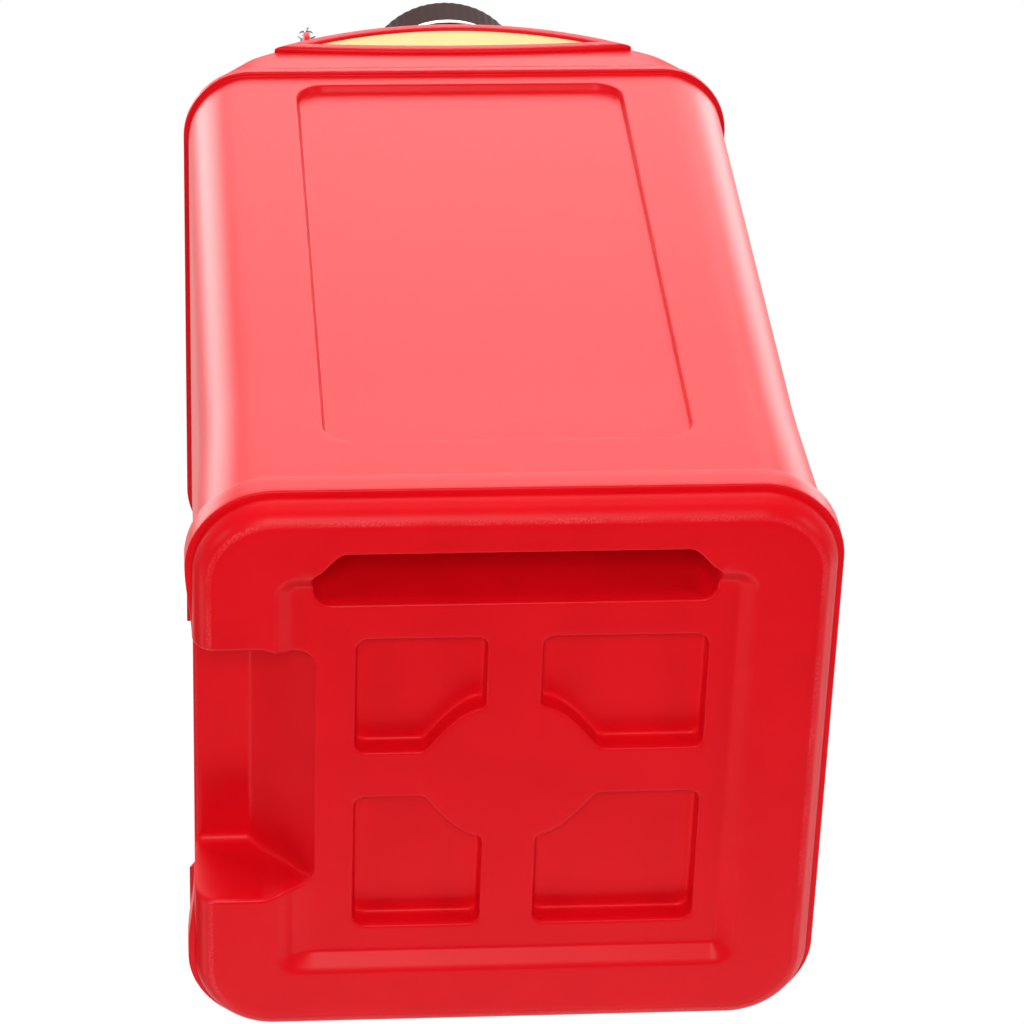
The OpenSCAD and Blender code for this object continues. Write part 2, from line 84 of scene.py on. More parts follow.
# Half the slot's length at its front edge, at the bend and at its rear edge.
SLOT_HALF = (61, 73.5, 71.5)
NOTCH_TOP = 37
NOTCH_END = can_low[0] + 47
NOTCH_FLAT = can_low[0] + 23.5
NOTCH_Y = -2
NOTCH_HALF = (52.5, 55.5)
NOTCH_WIDENS = (-90, -82)
NOTCH_LONG = 100
NOTCH_R = 8
NOTCH_ROLL = 3
PAD_TOP = 13
PAD_CROSS = 10
PAD_MIDDLE = np.array([0.5, 1.3])
PAD_CORNER = np.array([22, 19])
PAD_WIDTHS = (47.5, 60)
PAD_LENGTHS = (50, 59.5)


def smooth(t):
    """Share from 0 to 1 that starts and ends level: t squared times 3 - 2t."""
    t = np.clip(t, 0, 1)
    return t * t * (3 - 2 * t)


def corner_map(x, y, half, radius):
    """A rectangle's grid pressed into one with round corners: past a corner's centre, X and Y in units of the
    radius become X sqrt(1 - Y^2/2) and Y sqrt(1 - X^2/2), which carries a square quarter to a round one."""
    inner = half - radius
    past_x = np.clip((np.abs(x) - inner[0]) / radius, 0, 1)
    past_y = np.clip((np.abs(y) - inner[1]) / radius, 0, 1)
    round_x = np.minimum(np.abs(x), inner[0]) + radius * past_x * np.sqrt(1 - past_y ** 2 / 2)
    round_y = np.minimum(np.abs(y), inner[1]) + radius * past_y * np.sqrt(1 - past_x ** 2 / 2)
    return np.sign(x) * round_x, np.sign(y) * round_y


def box_distance(x, y, half, radius):
    """Signed distance from a rounded rectangle, less than zero inside, and the direction that leads away from
    it: from a corner's centre past that centre, and square to the nearer side elsewhere."""
    past = np.stack([np.abs(x) - half[0] + radius, np.abs(y) - half[1] + radius])
    outside = np.maximum(past, 0)
    reach = np.hypot(*outside)
    distance = reach + np.minimum(past.max(0), 0) - radius
    along_x = past[0] > past[1]
    side = np.stack([along_x, ~along_x]).astype(float)
    away = np.where(past.min(0) > 0, outside / np.maximum(reach, 1e-9), side)
    return distance, away * np.stack([np.sign(x), np.sign(y)])


def rounded(corners, steps=10):
    """Closed outline through corners given as x, y and radius: each corner with a radius becomes an arc that
    touches both its sides."""
    corners = np.array(corners, float)
    points = []
    for i, (*at, radius) in enumerate(corners):
        before = corners[i - 1, :2] - at
        after = corners[(i + 1) % len(corners), :2] - at
        before /= np.linalg.norm(before)
        after /= np.linalg.norm(after)
        half_turn = np.arccos(np.clip(before @ after, -1, 1)) / 2
        if radius == 0 or half_turn > 1.56:
            points.append([at])
            continue
        middle = (before + after) / np.linalg.norm(before + after)
        centre = at + middle * radius / np.sin(half_turn)
        share = np.linspace(-1, 1, steps)[:, None] * (np.pi / 2 - half_turn)
        across = (after - middle * (after @ middle)) / np.sin(half_turn)
        points.append(centre - radius * (np.cos(share) * middle - np.sin(share) * across))
    return np.concatenate(points)


def outline_distance(x, y, outline):
    """Signed distance of points from a closed outline, less than zero inside, and the direction that leads
    away from it. The nearest edge gives the distance, and the number of edges crossed on the way left gives
    the sign."""
    start, stop = outline, np.roll(outline, -1, 0)
    edge = stop - start
    gap = np.stack([x, y], -1)[:, None] - start
    share = np.clip((gap * edge).sum(-1) / (edge ** 2).sum(-1), 0, 1)
    across = (start[:, 1] > y[:, None]) != (stop[:, 1] > y[:, None])
    rise = np.where(edge[:, 1] == 0, 1, edge[:, 1])
    left = x[:, None] > start[:, 0] + edge[:, 0] * (y[:, None] - start[:, 1]) / rise
    side = np.where((across & left).sum(1) % 2, -1, 1)
    gap = gap - share[..., None] * edge
    nearest = (gap ** 2).sum(-1).argmin(1)
    gap = gap[np.arange(len(x)), nearest]
    width = np.hypot(gap[:, 0], gap[:, 1])
    return side * width, (gap * (side / np.maximum(width, 1e-9))[:, None]).T


def wall_section(depth, lip, root, lean, steps=9):
    """Section of a pressed wall, from outside to inside: a round lip, a wall that leans from upright by some
    degrees, and a round root. Gives each point's distance from the outline and its share of the depth."""
    turn = np.radians(90 - lean)
    bend = np.linspace(0, turn, steps)
    wall = (depth - (lip + root) * (1 - np.cos(turn))) / np.sin(turn)
    lip_at = lip * (np.tan(turn / 2) - np.sin(bend))
    root_at = lip_at[-1] - wall * np.cos(turn) - root * (np.sin(turn) - np.sin(bend[::-1]))
    lip_depth = lip * (1 - np.cos(bend))
    root_depth = depth - root * (1 - np.cos(bend[::-1]))
    return np.append(lip_at, root_at), np.append(lip_depth, root_depth) / depth


def press(distance, section, outer, inner):
    """Presses a wall into a grid: rows within two reaches of the outline, outside and inside it, are drawn
    together into the wall's section, with one more row close to it on either side to keep the faces flat
    there. Gives the distance at which each point comes to lie, and its share of the depth."""
    at, share = section
    half = len(at) // 2
    rows = np.concatenate([outer * np.array([1, 0.83]), outer * np.linspace(0.66, 0.23, half),
                           -inner * np.linspace(0.07, 0.66, half), -inner * np.array([0.83, 1])])
    at = np.concatenate([[outer, at[0] + 0.3], at, [at[-1] - 0.3, -inner]])
    share = np.concatenate([[0, 0], share, [1, 1]])
    return np.interp(-distance, -rows, at), np.interp(-distance, -rows, share)


def surface(name, grids, merge=0.002):
    """One mesh from grids of points in millimetres: every cell is a face, and points closer together than
    merge become one, which closes seams and poles."""
    points, quads, start = [], [], 0
    for grid in grids:
        rows, columns = grid.shape[:2]
        index = start + np.arange(rows * columns).reshape(rows, columns)
        cells = np.stack([index[:-1, :-1], index[:-1, 1:], index[1:, 1:], index[1:, :-1]], -1)
        points.append(grid.reshape(-1, 3))
        quads.append(cells.reshape(-1, 4))
        start += rows * columns
    points, quads = np.concatenate(points) * MM, np.concatenate(quads)
    mesh = bpy.data.meshes.new(name)
    mesh.vertices.add(len(points))
    mesh.vertices.foreach_set("co", points.ravel())
    mesh.loops.add(quads.size)
    mesh.loops.foreach_set("vertex_index", quads.ravel())
    mesh.polygons.add(len(quads))
    mesh.polygons.foreach_set("loop_start", np.arange(0, quads.size, 4))
    mesh.update(calc_edges=True)
    shape = bmesh.new()
    shape.from_mesh(mesh)
    bmesh.ops.remove_doubles(shape, verts=shape.verts, dist=merge * MM)
    bmesh.ops.dissolve_degenerate(shape, edges=shape.edges, dist=merge * MM / 10)
    for face in shape.faces:
        face.smooth = True
    shape.to_mesh(mesh)
    shape.free()
    piece = bpy.data.objects.new(name, mesh)
    bpy.context.scene.collection.objects.link(piece)
    return piece


def edge_lines(half, gaps, spacing):
    """Grid lines across a face: at given gaps from each edge, widest first, and at equal steps between."""
    inner = half - gaps[0]
    flat = np.linspace(-inner, inner, int(2 * inner / spacing))
    return np.concatenate([np.array(gaps[:0:-1]) - half, flat, half - np.array(gaps[1:])])


def s_step(start, stop, steps=8):
    """Points of an S from start to stop that begins and ends along X."""
    share = np.linspace(0, 1, steps + 1)[:, None]
    return np.array(start) + (np.array(stop) - start) * np.hstack([share, smooth(share)])


def arc(centre, radius, start, stop, steps=6):
    """Points of a circle's arc between two angles in degrees."""
    angle = np.radians(np.linspace(start, stop, steps))
    return np.stack([centre[0] + radius * np.cos(angle), centre[1] + radius * np.sin(angle)], -1)


# The foot's section, as gaps from its outline and heights: a quarter of an ellipse, then the flat sole.
foot_bend = np.radians(np.linspace(90, 0, 14))
foot_edge = np.stack([FOOT_ROUND * (1 - np.sin(foot_bend)), FOOT_TOP * (1 - np.cos(foot_bend))], -1)
sole = np.arange(FOOT_ROUND + GRID, SOLE_W + GRID / 2, GRID)
foot_section = np.concatenate([foot_edge, np.stack([sole, 0 * sole], -1)])
foot_gaps = list(foot_section[::-1, 0])
base_x, base_y = np.meshgrid(*(edge_lines(half, foot_gaps, GRID) for half in FOOT_HALF))
base_x, base_y = corner_map(base_x, base_y, FOOT_HALF, FOOT_R)


def press_pocket(x, y, distance, away, section, outer, inner):
    """Moves the points near a pocket's outline into its wall, and gives their share of its depth."""
    at, share = press(distance, section, outer, inner)
    near = (distance < outer) & (distance > -inner)
    shift = np.where(near, at - distance, 0)
    return x + shift * away[0], y + shift * away[1], share


def press_outline(x, y, outline, section, reach):
    """The same for an outline of any shape, worked out only for the points round it."""
    low, high = outline.min(0) - reach, outline.max(0) + reach
    near = (x > low[0]) & (x < high[0]) & (y > low[1]) & (y < high[1])
    share = np.zeros(x.shape)
    x, y = x.copy(), y.copy()
    distance, away = outline_distance(x[near], y[near], outline)
    x[near], y[near], share[near] = press_pocket(x[near], y[near], distance, away, section, reach, reach)
    return x, y, share


# The recess comes first, because the other pockets start from its floor.
recess_wall = wall_section(RECESS_H, lip=3, root=2.5, lean=50)
distance, away = box_distance(base_x, base_y, RECESS_HALF, RECESS_R)
base_x, base_y, _ = press_pocket(base_x, base_y, distance, away, recess_wall, outer=4, inner=10)

# The slot's front corners are drawn back in an S, and its ends narrow a little towards the rear.
slot_corner = [SLOT_HALF[1], SLOT_FRONT + SLOT_BEND]
slot_side = [[x, y, 0] for x, y in s_step([SLOT_HALF[0], SLOT_FRONT], slot_corner)[:-1]]
slot_side += [[*slot_corner, 3], [SLOT_HALF[2], SLOT_FRONT + SLOT_DEEP, 6]]
slot_outline = rounded(slot_side + [[-x, y, radius] for x, y, radius in slot_side[::-1]])
slot_wall = wall_section(SLOT_TOP - RECESS_H, lip=1, root=3, lean=2.5)
base_x, base_y, slot_share = press_outline(base_x, base_y, slot_outline, slot_wall, reach=6.5)

# A curve cuts each pad's inner corner away: it leaves the upright edge square and meets the other aslant.
pad_wall = wall_section(PAD_TOP - RECESS_H, lip=0.8, root=1.5, lean=4)
pad_curve = np.linspace(0, 1, 9)[1:-1]
pad_curve = PAD_CORNER * np.stack([pad_curve, np.cos(pad_curve * np.pi / 2)], -1)
pad_share = np.zeros(base_x.shape)
for side_x, width in zip((-1, 1), PAD_WIDTHS):
    for side_y, length in zip((-1, 1), PAD_LENGTHS):
        corners = [[0, PAD_CORNER[1], 2.5]] + [[x, y, 0] for x, y in pad_curve]
        corners += [[PAD_CORNER[0], 0, 4], [width, 0, 4], [width, length, 5], [0, length, 4]]
        pad_outline = (rounded(corners) + PAD_CROSS) * [side_x, side_y] + PAD_MIDDLE
        base_x, base_y, share = press_outline(base_x, base_y, pad_outline, pad_wall, reach=5)
        pad_share = np.maximum(pad_share, share)

# The notch runs out past the left edge, and it is a little wider outside the recess than inside it.
notch_half = np.interp(base_x, NOTCH_WIDENS, NOTCH_HALF[::-1])
notch_x = base_x - NOTCH_END + NOTCH_LONG
notch_y = (base_y - NOTCH_Y) * NOTCH_HALF[0] / notch_half
notch_wall = wall_section(NOTCH_TOP - RECESS_H, lip=1.5, root=3, lean=1)
distance, away = box_distance(notch_x, notch_y, np.array([NOTCH_LONG, NOTCH_HALF[0]]), NOTCH_R)
base_x, base_y, notch_share = press_pocket(base_x, base_y, distance, away, notch_wall, outer=9, inner=9)

# Heights: the foot, the recess, which runs out level behind the notch, then each pocket as a share of the
# way to its own ceiling.
rim_gap = -box_distance(base_x, base_y, FOOT_HALF, FOOT_R)[0]
foot_z = np.interp(rim_gap, *foot_section.T)
recess_at = box_distance(base_x, base_y, RECESS_HALF, RECESS_R)[0]
by_left = 1 - smooth((base_x - LEVEL_FROM[0]) / LEVEL_OVER[0])
behind_notch = smooth((base_y - LEVEL_FROM[1]) / LEVEL_OVER[1])
recess = np.interp(-recess_at, -recess_wall[0], recess_wall[1]) * (1 - behind_notch * by_left)
base_z = foot_z + RECESS_H * recess
rim_roll = NOTCH_ROLL - np.sqrt(NOTCH_ROLL ** 2 - np.clip(NOTCH_ROLL - rim_gap, 0, NOTCH_ROLL) ** 2)
ramp = np.clip((NOTCH_END - base_x) / (NOTCH_END - NOTCH_FLAT), 0, 1)
notch_z = RECESS_H + (NOTCH_TOP - RECESS_H) * ramp + rim_roll
base_z = base_z + slot_share * (SLOT_TOP - base_z) + pad_share * (PAD_TOP - base_z)
base_z = base_z + notch_share * np.maximum(notch_z - base_z, 0)

# Above the band the moulding is narrower than at the foot, so the notch's ceiling ends where the walls stand.
tuck = np.clip(1 - rim_gap / FOOT_ROUND, 0, 1) * np.interp(base_z, WALL_RISE, NOTCH_INSET)
_, away = box_distance(base_x, base_y, FOOT_HALF, FOOT_R)
base_x += tuck * away[0] * BODY_DRAW[0]
base_y += tuck * away[1] * BODY_DRAW[1]
base_grid = np.stack([base_x, base_y, base_z], -1)
can_base = surface("can_base", [base_grid.transpose(1, 0, 2)])


def linear(code):
    """Linear colour of an sRGB hex value, for a shader's socket."""
    srgb = np.array([int(code[i:i + 2], 16) for i in (1, 3, 5)]) / 255
    return *np.where(srgb <= 0.04045, srgb / 12.92, ((srgb + 0.055) / 1.055) ** 2.4), 1.0


def node(tree, kind, inputs, **settings):
    """Adds a node: each input is a value for its socket, or the socket that feeds it."""
    made = tree.nodes.new("ShaderNode" + kind)
    for name, value in settings.items():
        setattr(made, name, value)
    for name, value in inputs.items():
        if isinstance(value, bpy.types.NodeSocket):
            tree.links.new(value, made.inputs[name])
        else:
            made.inputs[name].default_value = value
    return made


def new_material(name, **inputs):
    """Empty material with one Principled shader, whose constant sockets are set here."""
    material = bpy.data.materials.new(name)
    material.use_nodes = True
    shader = material.node_tree.nodes["Principled BSDF"]
    for socket, value in inputs.items():
        shader.inputs[socket.replace("_", " ")].default_value = value
    return material, material.node_tree, shader


def noise(tree, place, grain, **inputs):
    """Noise with a grain of some millimetres."""
    return node(tree, "TexNoise", {"Vector": place, "Scale": 1 / (grain * MM), **inputs}).outputs["Fac"]


def mapped(tree, value, start, stop, low=0.0, high=1.0):
    """Value that goes from low to high while another goes from start to stop."""
    limits = {"From Min": start, "From Max": stop, "To Min": low, "To Max": high}
    return node(tree, "MapRange", {"Value": value, **limits}).outputs["Result"]


def maths(tree, operation, *values):
    """Result of one operation on one or two values."""
    return node(tree, "Math", dict(enumerate(values)), operation=operation).outputs[0]


def two_tones(tree, value, dark, light, start=0.0, stop=1.0):
    """Colour that goes from a dark tone to a light one while a value goes from start to stop."""
    ramp = node(tree, "ValToRGB", {"Fac": value})
    for element, position, tone in zip(ramp.color_ramp.elements, (start, stop), (dark, light)):
        element.position = position
        element.color = linear(tone)
    return ramp.outputs["Color"]


# Blow-moulded polyethylene: a satin skin with the mould's faint orange peel, slightly uneven in colour, and
# paler in specks along the outer edge of the sole, partly scuffs and partly a painted highlight on that edge.
TINT_MM = 35
PEEL_MM = 0.9
SPECK_MM = 0.7
PATCH_MM = 25
# Reach and height of the pale specks at the sole's edge: scuffs and a painted highlight.
SCUFF_AND_HIGHLIGHT_REACH = (99, 104)
SCUFF_AND_HIGHLIGHT_TOP = 4
BUMP_MM = 0.03
red_polyethylene, tree, shader = new_material(
    "red_polyethylene", Roughness=0.36, IOR=1.6, Specular_IOR_Level=0.07)
place = node(tree, "TexCoord", {}).outputs["Object"]
reds = two_tones(tree, noise(tree, place, TINT_MM, Detail=3.0), "#cd0613", "#d40916", 0.3, 0.7)
along = node(tree, "SeparateXYZ", {"Vector": place}).outputs
far = maths(tree, "MAXIMUM", maths(tree, "ABSOLUTE", along["X"]), maths(tree, "ABSOLUTE", along["Y"]))
outer = mapped(tree, far, SCUFF_AND_HIGHLIGHT_REACH[0] * MM, SCUFF_AND_HIGHLIGHT_REACH[1] * MM)
edge_highlight_band = node(tree, "ValToRGB", {"Fac": maths(tree, "MULTIPLY", along["Z"], 1 / (SCUFF_AND_HIGHLIGHT_TOP * MM))})
for position, level in ((0.06, 0.0), (0.11, 1.0), (0.22, 1.0), (0.34, 0.0)):
    stop = edge_highlight_band.color_ramp.elements.new(position)
    stop.color = (level, level, level, 1)
edge_highlight_band.color_ramp.elements.remove(edge_highlight_band.color_ramp.elements[0])
edge_highlight_band.color_ramp.elements[-1].color = (0, 0, 0, 1)
specks = mapped(tree, noise(tree, place, SPECK_MM, Detail=5.0, Roughness=0.7), 0.4, 0.62, high=0.4)
patches = mapped(tree, noise(tree, place, PATCH_MM, Detail=2.0), 0.35, 0.6, low=0.25)
wear_and_highlight_mask = maths(tree, "MULTIPLY", specks, patches)
wear_and_highlight_mask = maths(tree, "MULTIPLY", wear_and_highlight_mask, edge_highlight_band.outputs["Color"])
wear_and_highlight_mask = maths(tree, "MULTIPLY", wear_and_highlight_mask, outer)
# The pale tone mixed in here is scuffing and a painted highlight along the sole's edge.
worn_and_highlit = node(tree, "MixRGB", {"Fac": wear_and_highlight_mask, "Color1": reds, "Color2": linear("#f2626c")})
tree.links.new(worn_and_highlit.outputs["Color"], shader.inputs["Base Color"])
peel = noise(tree, place, PEEL_MM, Detail=2.0)
bump = node(tree, "Bump", {"Height": peel, "Strength": 0.15, "Distance": BUMP_MM * MM})
tree.links.new(bump.outputs["Normal"], shader.inputs["Normal"])


def dress(piece, material, slot, body, *nodes):
    """Gives a piece its material and its body, and hides the solids that it stands for."""
    piece.data.materials.append(material)
    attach(piece, body)
    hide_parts(*nodes)


dress(can_base, red_polyethylene, "red_polyethylene", "can", "can_body")

# Sides of the can: the four walls of the same moulding, between the base and the shoulder. A band stands
# proud round the foot, a sunk panel marks the front, and a small step leads out to the shoulder.
BAND_LOW_R = 0.8
BAND_HIGH_R = 1.2
BAND_FADE = 30
SHOULDER_Z = 336
PROUD = 2
PANEL_HALF = np.array([67.5, 140])
PANEL_MIDDLE = 188
PANEL_R = 12
PANEL_DEPTH = 3

# Every row of the walls follows the base's rim at an offset, and from the band's top on also at the walls'
# inset. Rows stand closer where the panel's ends are pressed in.
rim = np.concatenate([base_grid[0, :-1], base_grid[:-1, -1], base_grid[-1, :0:-1], base_grid[:0:-1, 0]])
rim = np.concatenate([rim, rim[:1]])
_, outward = box_distance(rim[:, 0], rim[:, 1], FOOT_HALF, FOOT_R)
band = np.concatenate([
    [[0, FOOT_TOP], [BAND_LOW_R, FOOT_TOP]],
    arc((LEDGE - BAND_LOW_R, FOOT_TOP + BAND_LOW_R), BAND_LOW_R, -90, 0),
    [[LEDGE, 13], [LEDGE, 16]],
    arc((LEDGE - BAND_HIGH_R, BAND_TOP - BAND_HIGH_R), BAND_HIGH_R, 0, 90),
])
root = arc((WALL_ROOT, BAND_TOP + WALL_ROOT), WALL_ROOT, 270, 180)
wall_z = np.concatenate([[25, 29, 34, 39], np.arange(42, 63), np.linspace(66, 308, 16), np.arange(311, 335)])
step = np.concatenate([
    arc((0.6, SHOULDER_Z - 0.6), 0.6, 180, 90, 4),
    arc((PROUD - 0.8, SHOULDER_Z + 0.8), 0.8, -90, 0, 5),
    [[PROUD, 338], [PROUD - 0.5, 340]],
])
wall = np.concatenate([root, np.stack([0 * wall_z, wall_z], -1), step])
profile = np.concatenate([band, wall])
offset = np.repeat(profile[:, :1], len(rim), 1)

# On the left side the band runs out before the notch, and the wall stands further out there.
by_notch = smooth(1 - (np.abs(rim[:, 1] - NOTCH_Y) - NOTCH_HALF[1]) / BAND_FADE) * (outward[0] < -0.9)
offset[:len(band)] *= 1 - by_notch
inset = np.interp(profile[:, 1:], WALL_RISE, WALL_INSET) * (1 - by_notch)
inset += np.interp(profile[:, 1:], WALL_RISE, NOTCH_INSET) * by_notch
side_z = np.repeat(profile[:, 1:], len(rim), 1)

# Where the notch cuts the rim away, rows below the cut lie on it, as far in as the walls are there.
past_band = np.interp(rim[:, 2], [BAND_TOP, BAND_TOP + WALL_ROOT], [LEDGE, 0])
cut = side_z < rim[:, 2]
offset = np.where(cut, np.minimum(offset, past_band), offset)
side_z = np.maximum(side_z, rim[:, 2])
inset = np.maximum(inset - np.interp(rim[:, 2], WALL_RISE, NOTCH_INSET), 0)[..., None] * BODY_DRAW

# The panel on the front is pressed in from the outside.
side_x = np.repeat(rim[None, :, 0], len(profile), 0)
on_front = (outward[1] < -0.999) & (side_z > BAND_TOP + 4) & (side_z < SHOULDER_Z - 1)
panel_wall = wall_section(PANEL_DEPTH, lip=0.8, root=0.8, lean=25)
distance, away = box_distance(side_x, side_z - PANEL_MIDDLE, PANEL_HALF, PANEL_R)
panel_x, panel_z, share = press_pocket(side_x, side_z, distance, away, panel_wall, outer=6, inner=6)
offset = np.where(on_front, offset - PANEL_DEPTH * share, offset)
side_x = np.where(on_front, panel_x, side_x + (offset + inset[..., 0]) * outward[0])
side_z = np.where(on_front, panel_z, side_z)
side_y = rim[:, 1] + (offset + inset[..., 1]) * outward[1]
can_sides = surface("can_sides", [np.stack([side_x, side_y, side_z], -1)])
dress(can_sides, red_polyethylene, "red_polyethylene", "can", "can_body")

# Roof of the can: the shoulder's round edge and a flat top, with two blocks of one vault on it, before and
# behind the handle. It is the same moulding, so the blocks' walls lean a little and run out in round roots.
SHOULDER_R = 8
SHOULDER_TOP = 346
SHOULDER_HALF = BODY_HALF + PROUD
VAULT_HALF = 94
VAULT_RISE = 35.5
VAULT_R = (VAULT_HALF ** 2 + VAULT_RISE ** 2) / (2 * VAULT_RISE)
VAULT_Z = SHOULDER_TOP + VAULT_RISE - VAULT_R
VAULT_FOOT = 7
BLOCK_END = 110
BLOCK_EDGE = 5
NECK_Y = -75
NECK_HOLE = 31
GRIP = (-24, 76)


def roof_at(x):
    """Height of the vault: a circle about an axis along Y."""
    return VAULT_Z + np.sqrt(VAULT_R ** 2 - x ** 2)


# The roof's rows from front to rear, as places along Y and shares of the vault's height: the shoulder's edge,
# the front block between its two walls, the flat gap under the handle, the rear block and the edge again.
wall_at, wall_share = wall_section(VAULT_RISE, lip=2, root=3, lean=3)
front_at, front_share = wall_section(VAULT_RISE, lip=1, root=2, lean=1)
shoulder_edge = SHOULDER_HALF[1] - SHOULDER_R + SHOULDER_R * np.sin(np.radians([65, 75, 83, 90]))
roof_rows = np.concatenate([
    np.stack([-shoulder_edge[::-1], 0 * shoulder_edge], -1),
    np.stack([-BODY_HALF[1] - front_at, front_share], -1),
    np.stack([np.linspace(-BLOCK_END, GRIP[0] - BLOCK_EDGE, 40), np.ones(40)], -1),
    np.stack([GRIP[0] + wall_at, wall_share], -1)[::-1],
    np.stack([np.linspace(GRIP[0] + BLOCK_EDGE, GRIP[1] - BLOCK_EDGE, 30), np.zeros(30)], -1),
    np.stack([GRIP[1] - wall_at, wall_share], -1),
    np.stack([np.linspace(GRIP[1] + BLOCK_EDGE, BLOCK_END, 16), np.ones(16)], -1),
    np.stack([BODY_HALF[1] + front_at, front_share], -1)[::-1],
    np.stack([shoulder_edge, 0 * shoulder_edge], -1),
])
shoulder_gaps = list(SHOULDER_R - SHOULDER_R * np.sin(np.radians(np.linspace(0, 90, 10))))
roof_x, roof_y = np.meshgrid(edge_lines(SHOULDER_HALF[0], shoulder_gaps, 1.6), roof_rows[:, 0])
vault = roof_at(roof_x)
roof_x, roof_y = corner_map(roof_x, roof_y, SHOULDER_HALF, BODY_R + PROUD)
edge_gap = -box_distance(roof_x, roof_y, SHOULDER_HALF, BODY_R + PROUD)[0]
round_in = np.clip(SHOULDER_R - edge_gap, 0, SHOULDER_R)
plate = SHOULDER_TOP - SHOULDER_R + np.sqrt(SHOULDER_R ** 2 - round_in ** 2)
blend = np.clip(0.5 + 0.5 * (vault - plate) / VAULT_FOOT, 0, 1)
block = plate + (vault - plate) * blend + VAULT_FOOT * blend * (1 - blend)
roof_z = plate + roof_rows[:, 1:] * (block - plate)
can_roof = surface("can_roof", [np.stack([roof_x, roof_y, roof_z], -1)])
shape = bmesh.new()
shape.from_mesh(can_roof.data)
under_neck = [f for f in shape.faces
              if np.hypot(f.calc_center_median().x, f.calc_center_median().y - NECK_Y * MM) < NECK_HOLE * MM]
bmesh.ops.delete(shape, geom=under_neck, context="FACES")
shape.to_mesh(can_roof.data)
shape.free()
dress(can_roof, red_polyethylene, "red_polyethylene", "can", "can_body")

# Neck of the can: a round boss on the vault and the threaded neck that the cap screws onto, part of the
# moulding. A rebate in its mouth holds the flame arrester's flange.
BOSS_R = 33
BOSS_TOP = 387.5
BOSS_FOOT = 3
NECK_R = 29
NECK_LOW = 374
NECK_TOP = 410.5
NECK_BORE = 25.5
REBATE_R = 27.25
REBATE_Z = 408.7
PITCH = 5
THREAD_H = 1.5
THREAD_Z = (391.5, 407.5)


def revolve(profile, centre, columns=128):
    """Profile of radii and heights turned once round an upright axis."""
    turn = np.linspace(0, 2 * np.pi, columns + 1)
    radius, height = profile[:, :1], profile[:, 1:]
    return np.stack([centre[0] + radius * np.cos(turn), centre[1] + radius * np.sin(turn),
                     height + 0 * turn], -1)


def thread(z, turn, low, high, pitch):
    """Share of a thread's height: a rounded ridge that climbs one pitch a turn and fades out at both ends."""
    phase = (z - low) / pitch - turn / (2 * np.pi)
    ridge = smooth(1.6 - 4 * np.abs(phase - np.round(phase)))
    return ridge * smooth((z - low) / 2) * smooth((high - z) / 2)


neck_turn = np.linspace(0, 2 * np.pi, 129)
root_bend = np.radians(np.linspace(0, 90, 7))[:, None]
root_r = BOSS_R + BOSS_FOOT * (1 - np.sin(root_bend)) + 0 * neck_turn
root_z = roof_at(root_r * np.cos(neck_turn)) + BOSS_FOOT * (1 - np.cos(root_bend))
root_z[0] -= 0.3
boss_edge = arc((BOSS_R - 1, BOSS_TOP - 1), 1, 0, 90)
neck_low = arc((NECK_R + 1, BOSS_TOP + 1), 1, 270, 180)
neck_wall = np.stack([np.full(60, NECK_R), np.linspace(BOSS_TOP + 1.2, NECK_TOP - 1.4, 60)], -1)
mouth = np.concatenate([
    arc((NECK_R - 0.8, NECK_TOP - 0.8), 0.8, 0, 90),
    [[REBATE_R, NECK_TOP], [REBATE_R, REBATE_Z], [NECK_BORE, REBATE_Z]],
    [[NECK_BORE, BOSS_TOP], [NECK_BORE, NECK_LOW]],
])
neck_profile = np.concatenate([boss_edge, neck_low, neck_wall, mouth])
neck_grid = revolve(neck_profile, (0, NECK_Y))
ridge = THREAD_H * thread(neck_profile[:, 1:], neck_turn, *THREAD_Z, PITCH)
ridge = ridge * (neck_profile[:, :1] == NECK_R)
neck_grid[..., 0] += ridge * np.cos(neck_turn)
neck_grid[..., 1] += ridge * np.sin(neck_turn)
boss_grid = np.stack([root_r * np.cos(neck_turn), NECK_Y + root_r * np.sin(neck_turn), root_z], -1)
neck = surface("neck", [np.concatenate([boss_grid, neck_grid])])
dress(neck, red_polyethylene, "red_polyethylene", "can", "can_body")

# Handle: a bar of the same moulding that arches over the gap between the two roof blocks, oval in section and
# thicker where its roots run into them.
HANDLE_Y = 26
HANDLE_R = 109
HANDLE_Z = 290.5
HANDLE_SPAN = 60
HANDLE_TURN = np.arcsin(HANDLE_SPAN / HANDLE_R)
BAR_HALF = np.array([17, 10])
BAR_R = 9
FLARE = 0.35
FLARE_FROM = 0.72
FLARE_OVER = 0.28


def oval(half, radius, steps=8):
    """Rounded rectangle as a closed section, the same number of points at each corner."""
    inner = half - radius
    corners = [arc(inner * [1, 1], radius, 0, 90, steps), arc(inner * [-1, 1], radius, 90, 180, steps),
               arc(inner * [-1, -1], radius, 180, 270, steps), arc(inner * [1, -1], radius, 270, 360, steps)]
    closed = np.concatenate(corners)
    return np.concatenate([closed, closed[:1]])


# The sweep is in units of half the span and ends a little inside the blocks. The roots flare to the sides and
# below, but not above, where the vault is level with the bar.
sweep = np.linspace(-1.04, 1.04, 85)[:, None]
section = oval(BAR_HALF, BAR_R)
flare = 1 + FLARE * smooth((np.abs(sweep) - FLARE_FROM) / FLARE_OVER)
bar_r = HANDLE_R - BAR_HALF[1] + section[:, 1] * np.where(section[:, 1] < 0, flare, 1)
bar_turn = sweep * HANDLE_TURN
handle = surface("handle", [np.stack([section[:, 0] * flare, HANDLE_Y + bar_r * np.sin(bar_turn),
                                      HANDLE_Z + bar_r * np.cos(bar_turn)], -1)[:, ::-1]])
dress(handle, red_polyethylene, "red_polyethylene", "can", "can_body")

